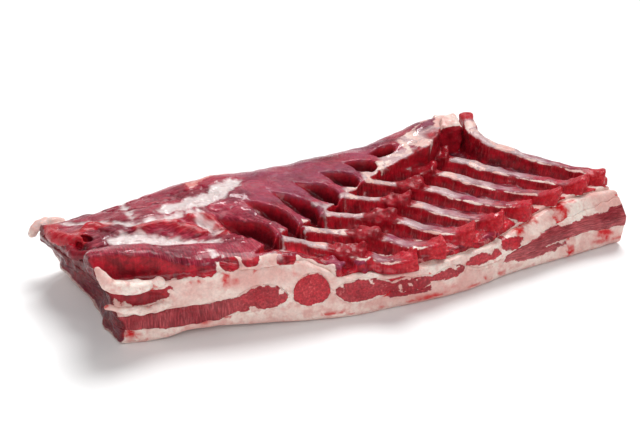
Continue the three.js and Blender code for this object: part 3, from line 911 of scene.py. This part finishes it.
def paint_front_rim(masks, x, y, z):
    """The white rim over the front cut, and the small muscles that show in it."""
    inward = y - front_edge(x)
    reach = 8 + 2.5 * noise(x, y, z, 6.0, 921)
    rim = smooth(reach + 1, reach - 1, inward) * smooth(-146, -138, x) * smooth(-36, -44, x)
    ovals = patches(x, z, RIM_MUSCLES, 0.12, 850) * smooth(12, 8, inward)
    blend_to(masks, rim, fat=1 - ovals, raw=ovals, film=0.0)
    raise_to(masks, sleek=rim * ovals)


def paint_folds(masks, x, y, z):
    """Red lips, a deep-toned rim and the pale tab at the left end, and the back left edge's fat."""
    rim = near_bar(x, y, z, *CURLED_RIM)
    lips = np.maximum(near_bar(x, y, z, *END_LIP), near_bar(x, y, z, *RED_LIP))
    blend_to(masks, rim, raw=0.6)
    blend_to(masks, lips, raw=0.75, blood=0.4)
    blend_to(masks, np.maximum(lips, rim), fat=0.0, film=0.0, dark=0.0)
    raise_to(masks, dark=0.5 * rim * (1 - lips), sleek=rim)
    edge = smooth(-150, -185, x) * smooth(7, 4.5, back_edge(x) - y + noise(x, y, z, 8.0, 931))
    tab = near_bar(x, y, z, END_TAB[0], TAB_PAINT_RADIUS)
    pale = np.maximum(tab, edge * smooth(12, 7, top_height(x, y) - z))
    blend_to(masks, pale, dark=0.0, blood=0.0, film=0.0, raw=0.0, fat=1.0 - 0.4 * tab)
    raise_to(masks, white=tab)


def paint_left_muscles(masks, x, y, z, depth, facing_up):
    """White fascia, painted glints, red rolls, and painted shade in hollows and creases, on the
    muscles left of the slots.
    """
    left = smooth(-95, -110, x)
    raise_to(masks, grainy=0.35 * masks["raw"] * left, sleek=masks["raw"] * left)
    # painted glints: white specks in spots of the wet top
    glint_spots = patches(x, y, GLINT_SPOTS, 0.3, 610) * smooth(0.15, 0.45, noise(x, y, z, 2.4, 620))
    white = np.maximum(near_routes(x, y, FASCIA, 3.6, 600) * facing_up, glint_spots)
    creases = furrows(x, y) * facing_up * (1 - white)
    rolls = near_routes(x, y, RED_ROLLS, 1.4, 700) * facing_up
    # painted shade below the muscles' tops and in the creases between bundles
    raise_to(masks, white=white, raw=0.85 * rolls, blood=0.25 * rolls,
             dark=0.45 * smooth(4, 18, depth) * smooth(-100, -120, x) + 0.4 * creases)


def paint_rib_fascia(masks, x, y, z, up, depth, facing_up):
    """Broken white and cream fascia by the slots and strips, and fat along the back edge."""
    rib_fascia = near_routes(x, y, RIB_FASCIA, 3.4, 640) * smooth(0.0, 0.3, up)
    broken = rough(x, y, z, (1, 6.0, 641), (0.5, 2.8, 642))
    knot_places = [stepped(ROOT, i) - 5 for i in range(STRIPS)]
    knots = np.maximum.reduce([bell(np.hypot(x - at_x, y - at_y), 6.0)
                               for at_x, at_y in knot_places])
    cream = np.maximum(0.55 * smooth(0.1, 0.7, broken),
                       smooth(0.35, 0.7, knots + 0.5 * broken - 0.1))
    over_edge = np.maximum(facing_up, smooth(13, 4, depth + 5 * broken))
    loin_fascia = near_routes(x, y, LOIN_FASCIA, 2.6, 670) * over_edge
    back = near_routes(x, y, [BACK_EDGE], 3.0, 680)
    raise_to(masks, fat=np.maximum(rib_fascia * cream, loin_fascia * (0.8 + 0.3 * broken)),
             white=rib_fascia * smooth(-0.5, 0.4, broken) * 0.7,
             blood=0.5 * rib_fascia * smooth(-0.2, -0.7, broken))
    raise_to(masks, fat=0.6 * back, blood=0.55 * back)


def paint_membrane(masks, x, y, z):
    """Lilac film, and a faint painted sheen where the muscle isn't cut."""
    whole = 1 - masks["raw"]
    veil = smooth(-0.2, 0.5, noise(x, y, z, 26.0, 690) + 0.35 * smooth(-90, -40, x))
    # painted sheen: faint pale streaks standing in for highlights on the wet membrane
    painted_sheen = noise(0.35 * (x + y), y - x, 0.0, 7.0, 691) + 0.5 * noise(x, y, z, 3.5, 692)
    raise_to(masks, film=whole * veil * lerp(0.12, 0.6, smooth(-110, -60, x)),
             white=0.12 * smooth(0.45, 1.0, painted_sheen) * whole)


def paint_bed(masks, x, y, z, depth):
    """The floor between the strips: film and painted shade at the back, and clean fat at the front."""
    at_floor = 1 - smooth(0, 3, z - floor_height(x, y) - 1)
    bed = smooth(7, 10, depth) * at_floor * smooth(-90, -70, x)
    to_front = smooth(50, 24, y - front_edge(x))
    # painted shade on the floor between the strips, towards the back
    blend_to(masks, bed, fat=0.3 + 0.6 * to_front, film=0.5 * (1 - to_front),
             dark=0.6 * (1 - to_front))


def paint_rib_meat(x, y, z, normal):
    masks = blank(x)
    depth = top_height(x, y) - z
    up = normal[:, 2]
    facing_up = smooth(0.2, 0.5, up)
    raise_to(masks, raw=np.maximum(smooth(2, 5, depth), 1 - facing_up))
    paint_left_muscles(masks, x, y, z, depth, facing_up)
    paint_rib_fascia(masks, x, y, z, up, depth, facing_up)
    paint_membrane(masks, x, y, z)
    across, along = y.copy(), x.copy()
    front_roll = (y < -24) & (x < -90)
    across[front_roll], along[front_roll] = x[front_roll], y[front_roll]
    paint_slots(masks, x, y, z, across, along)
    paint_bed(masks, x, y, z, depth)
    paint_strips(masks, x, y, z, normal, across, along)
    paint_stubs(masks, x, y, z, normal)
    paint_front_rim(masks, x, y, z)
    paint_left_end(masks, x, y, z, normal)
    paint_folds(masks, x, y, z)
    return masks, fibre_frame(across, along)


# --- materials ---
def srgb(r, g, b):
    """The linear colour of 8-bit sRGB values, with alpha."""
    parts = [v / 255 for v in (r, g, b)]
    return tuple([v / 12.92 if v <= 0.04045 else ((v + 0.055) / 1.055) ** 2.4 for v in parts] + [1.0])


COLOURS = SimpleNamespace(
    membrane=srgb(166, 38, 62),
    membrane_deep=srgb(120, 16, 40),
    raw=srgb(198, 30, 48),
    raw_deep=srgb(116, 8, 22),
    granule=srgb(212, 62, 70),
    lean=srgb(178, 80, 84),
    lean_deep=srgb(142, 42, 50),
    fat=srgb(241, 224, 214),
    fat_pink=srgb(220, 168, 160),
    fascia=srgb(228, 214, 212),
    thread=srgb(222, 138, 136),
    rosy=srgb(214, 118, 124),
    film=srgb(146, 74, 104),
    skin=srgb(212, 150, 142),
    blood=srgb(200, 16, 26),
    # near-black red, for painted shade and for the deep tone of cut muscle
    dark=srgb(46, 4, 12),
)


class Nodes:
    """Short words for building a material's node tree."""

    def __init__(self, name):
        self.material = bpy.data.materials.new(name)
        self.material.use_nodes = True
        self.tree = self.material.node_tree
        self.tree.nodes.clear()

    def add(self, kind, inputs=(), **settings):
        """A new node. Each input is set to a value, or linked to another node's socket."""
        node = self.tree.nodes.new(kind)
        for key, value in settings.items():
            setattr(node, key, value)
        for socket, value in inputs:
            if isinstance(value, bpy.types.NodeSocket):
                self.tree.links.new(value, node.inputs[socket])
            else:
                node.inputs[socket].default_value = value
        return node

    def attribute(self, name, output="Fac"):
        return self.add("ShaderNodeAttribute", attribute_name=name).outputs[output]

    def math(self, operation, a, b=0.0):
        return self.add("ShaderNodeMath", ((0, a), (1, b)), operation=operation).outputs[0]

    def times(self, a, b):
        return self.math("MULTIPLY", a, b)

    def plus(self, a, b):
        return self.math("ADD", a, b)

    def range(self, value, low, high, to_low=0.0, to_high=1.0):
        limits = (("From Min", low), ("From Max", high), ("To Min", to_low), ("To Max", to_high))
        node = self.add("ShaderNodeMapRange", (("Value", value), *limits),
                        interpolation_type="SMOOTHSTEP")
        return node.outputs["Result"]

    def mix(self, factor, a, b, blend="MIX"):
        node = self.add("ShaderNodeMix", ((0, factor), (6, a), (7, b)), data_type="RGBA",
                        blend_type=blend)
        return node.outputs[2]

    def mix_value(self, factor, a, b):
        node = self.add("ShaderNodeMix", ((0, factor), (2, a), (3, b)), data_type="FLOAT")
        return node.outputs[0]

    def shaded(self, colour, value):
        """A colour times a grey value."""
        grey = self.add("ShaderNodeCombineColor", [(k, value) for k in range(3)]).outputs[0]
        return self.mix(1.0, colour, grey, "MULTIPLY")

    def noise(self, vector, scale, detail, roughness, distortion=0.0):
        node = self.add("ShaderNodeTexNoise",
                        (("Vector", vector), ("Scale", scale), ("Detail", detail),
                         ("Roughness", roughness), ("Distortion", distortion)))
        return node.outputs["Fac"]

    def stretched(self, vector, scale):
        return self.add("ShaderNodeMapping", (("Vector", vector), ("Scale", scale))).outputs[0]

    def finish(self, *inputs):
        """Joins a surface shader to the output, and gives the material."""
        shader = self.add("ShaderNodeBsdfPrincipled", inputs)
        self.add("ShaderNodeOutputMaterial", [("Surface", shader.outputs["BSDF"])])
        return self.material


def surface_noises(n):
    """The noises that a material's colours share. Fibres and threads run along the grain."""
    place = n.add("ShaderNodeTexCoord").outputs["Object"]
    grain = n.attribute("grain", "Vector")
    return SimpleNamespace(
        fibres=n.noise(n.stretched(grain, (0.75, 0.09, 1.0)), 1.0, 4.0, 0.62, 0.4),
        threads=n.noise(n.stretched(grain, (0.3, 0.03, 1.0)), 1.0, 2.0, 0.5, 0.2),
        fine=n.noise(place, 560.0, 3.0, 0.7),
        granules=n.noise(place, 440.0, 2.5, 0.65),
        medium=n.noise(place, 120.0, 3.0, 0.6),
        broad=n.noise(place, 26.0, 3.0, 0.55))


def muscle_colour(n, t, meat, meat_deep):
    """Streaked or granular muscle, whole or cut, with pale threads or flecks."""
    raw, sleek, grainy = n.attribute("raw"), n.attribute("sleek"), n.attribute("grainy")
    muscle = n.mix(n.range(t.broad, 0.35, 0.65), meat, meat_deep)
    cut = n.mix(n.range(t.medium, 0.3, 0.7), COLOURS.raw, COLOURS.raw_deep)
    muscle = n.mix(raw, muscle, cut)
    streaked = n.shaded(muscle, n.range(t.fibres, 0.34, 0.68, 0.6, 1.32))
    streaked = n.mix(n.times(sleek, 0.65), streaked, muscle)
    rosy = n.times(n.range(t.fibres, 0.5, 0.72, 0.0, 0.45), n.range(t.medium, 0.35, 0.6, 0.2))
    streaked = n.mix(n.times(rosy, n.mix_value(raw, 1.0, 0.25)), streaked, COLOURS.rosy)
    bright = n.times(n.range(t.medium, 0.35, 0.65, 0.1, 0.7), n.range(raw, 0.4, 0.8, 0.2))
    mottled = n.mix(n.times(bright, n.mix_value(sleek, 1.0, 0.25)), muscle, COLOURS.granule)
    mottled = n.shaded(mottled, n.range(t.granules, 0.36, 0.64, 0.72, 1.25))
    muscle = n.mix(grainy, streaked, mottled)
    apart = n.math("ABSOLUTE", n.math("SUBTRACT", t.threads, 0.5))
    thread = n.times(n.range(apart, 0.004, 0.022, 0.6, 0.0), n.range(raw, 0.1, 0.9, 0.2))
    thread = n.times(thread, n.range(t.medium, 0.4, 0.6, 0.2))
    fleck = n.range(n.plus(t.granules, n.times(t.medium, 0.5)), 0.88, 1.0, 0.0, 0.4)
    pale = n.times(n.mix_value(grainy, thread, fleck), n.math("SUBTRACT", 1.0, sleek))
    return n.mix(pale, muscle, COLOURS.thread)


def fat_colour(n, t, film):
    pale = n.mix(n.range(t.broad, 0.35, 0.7), COLOURS.fat, COLOURS.fat_pink)
    pale = n.mix(n.range(t.medium, 0.45, 0.68, 0.0, 0.8), pale, COLOURS.fat_pink)
    pale = n.shaded(pale, n.range(t.granules, 0.3, 0.7, 0.92, 1.06))
    return n.mix(n.times(film, 0.9), pale, COLOURS.skin)


def fat_share(n, t):
    """1 where a place is fat and 0 where it is muscle, with a ragged edge between."""
    fat = n.attribute("fat")
    ragged = n.plus(fat, n.times(n.math("SUBTRACT", t.granules, 0.5), 0.7))
    ragged = n.plus(ragged, n.times(n.math("SUBTRACT", t.medium, 0.5), 0.6))
    share = n.times(n.range(ragged, 0.38, 0.62), n.range(fat, 0.0, 0.15))
    return n.math("MAXIMUM", share, n.range(fat, 0.85, 1.0))


def flesh(name, meat, meat_deep, grain_depth):
    """Wet raw meat and fat: muscle with fibres, pale fat, film, blood, and painted shade in hollows.
    """
    n = Nodes(name)
    t = surface_noises(n)
    film = n.times(n.attribute("film"), n.range(t.medium, 0.25, 0.7, 0.25, 0.8))
    # The white mask is fascia, and also painted sheen and glints; both take the fascia colour.
    veil = n.times(n.attribute("white"), n.range(t.fibres, 0.3, 0.6, 0.7))
    blood = n.times(n.attribute("blood"), n.range(t.medium, 0.3, 0.6, 0.45))
    fat = fat_share(n, t)
    muscle = n.mix(film, muscle_colour(n, t, meat, meat_deep), COLOURS.film)
    muscle = n.mix(n.times(veil, n.range(t.medium, 0.3, 0.55, 0.75)), muscle, COLOURS.fascia)
    colour = n.mix(fat, muscle, fat_colour(n, t, film))
    colour = n.mix(blood, colour, COLOURS.blood)
    # painted shade in hollows, creases and on the left end, and the deeper red of cut muscle
    colour = n.mix(n.times(n.attribute("dark"), 0.8), colour, COLOURS.dark)

    height = n.times(t.fibres, n.math("SUBTRACT", 1.0, n.times(fat, 0.8)))
    height = n.plus(n.plus(height, n.times(t.fine, 0.6)), n.times(t.granules, 0.5))
    bump = n.add("ShaderNodeBump", (("Strength", 0.6), ("Distance", grain_depth), ("Height", height)))
    roughness = n.plus(n.range(t.medium, 0.3, 0.7, 0.2, 0.4), n.times(fat, 0.14))
    return n.finish(
        ("Base Color", colour), ("Roughness", roughness), ("Normal", bump.outputs["Normal"]),
        ("Subsurface Weight", 0.15), ("Subsurface Scale", 0.003),
        ("Subsurface Radius", (1.0, 0.35, 0.25)), ("Coat Weight", 0.2), ("Coat Roughness", 0.06),
        ("IOR", 1.36), ("Specular IOR Level", 0.18))


def add_piece(name, node, field, adaptivity, paint, material):
    """Meshes a field, paints its points and stands it in for a packed layer."""
    points, tris, quads = surface(field, adaptivity)
    mesh = mesh_of(name, points, tris, quads)
    x, y, z = points.T
    masks, fibres = paint(x, y, z, normals_of(mesh))
    for key, values in masks.items():
        layer = mesh.attributes.new(key, "FLOAT", "POINT")
        layer.data.foreach_set("value", np.clip(values, 0, 1).astype(np.float32))
    layer = mesh.attributes.new("grain", "FLOAT_VECTOR", "POINT")
    layer.data.foreach_set("vector", fibres.astype(np.float32).ravel())
    mesh.materials.append(material)
    piece = add_object(name, mesh)
    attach(piece, "root")
    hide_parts(node)


ADAPTIVITY, RIB_ADAPTIVITY = 0.05, 0.035
FINE_GRAIN, COARSE_GRAIN = 0.0006, 0.0009      # depth of the fibres' relief, in metres
LEAN = (COLOURS.lean, COLOURS.lean_deep)
MEMBRANE = (COLOURS.membrane, COLOURS.membrane_deep)

add_piece("rind_and_back_fat", "rind_fat", rind_fat_field(), ADAPTIVITY, paint_rind_fat,
          flesh("rind_fat_surface", *LEAN, FINE_GRAIN))
add_piece("lean_layer", "lean_sheet", lean_sheet_field(), ADAPTIVITY, paint_lean_sheet,
          flesh("lean_surface", *LEAN, COARSE_GRAIN))
add_piece("seam_fat_layer", "seam_fat", seam_fat_field(), ADAPTIVITY, paint_seam_fat,
          flesh("seam_fat_surface", *LEAN, FINE_GRAIN))
add_piece("rib_side_meat", "rib_meat", rib_meat_field(), RIB_ADAPTIVITY, paint_rib_meat,
          flesh("rib_meat_surface", *MEMBRANE, COARSE_GRAIN))


# --- camera, floor and light ---
CAMERA_PLACE = Vector((-0.390354, -0.957679, 0.601571))
CAMERA_BACK = Vector((-0.3209424, -0.8225524, 0.4694716))
LENS, SENSOR = 70.0, 36.0
FLOOR_SIZE = 8.0
SKY_STRENGTH = 0.34


def aim(thing, place, back):
    """Puts an object at a place, with its own Z turned to point back."""
    thing.location = place
    thing.rotation_euler = Vector(back).to_track_quat("Z", "Y").to_euler()


def add_camera():
    camera = add_object("camera", bpy.data.cameras.new("camera"))
    aim(camera, CAMERA_PLACE, CAMERA_BACK)
    camera.data.lens = LENS
    camera.data.sensor_width = SENSOR
    bpy.context.scene.camera = camera


def add_floor():
    mesh = bpy.data.meshes.new("floor")
    half = FLOOR_SIZE / 2
    mesh.from_pydata([(-half, -half, 0), (half, -half, 0), (half, half, 0), (-half, half, 0)], [],
                     [(0, 1, 2, 3)])
    mesh.materials.append(Nodes("floor_white").finish(
        ("Base Color", (0.93, 0.93, 0.93, 1)), ("Roughness", 0.85), ("Specular IOR Level", 0.2)))
    floor = add_object("floor", mesh)


def add_lamp(name, kind, place, energy, **settings):
    """A lamp that faces the slab from a place."""
    light = bpy.data.lights.new(name, kind)
    light.energy = energy
    for key, value in settings.items():
        setattr(light, key, value)
    aim(add_object(name, light), place, place)


def add_light():
    world = bpy.data.worlds.new("studio")
    world.use_nodes = True
    background = world.node_tree.nodes["Background"]
    background.inputs["Color"].default_value = (1, 1, 1, 1)
    background.inputs["Strength"].default_value = SKY_STRENGTH
    bpy.context.scene.world = world
    add_lamp("key_light", "SUN", (0.35, 0.45, 1.0), 2.5, angle=np.radians(30))
    add_lamp("fill_light", "AREA", (-0.7, -1.8, 1.5), 18.0, shape="RECTANGLE", size=1.2, size_y=0.9)
    add_lamp("glint_light", "AREA", (0.3, 1.7, 1.3), 6.0, shape="SQUARE", size=0.25)
    bpy.context.scene.view_settings.view_transform = "Standard"


add_camera()
add_floor()
add_light()
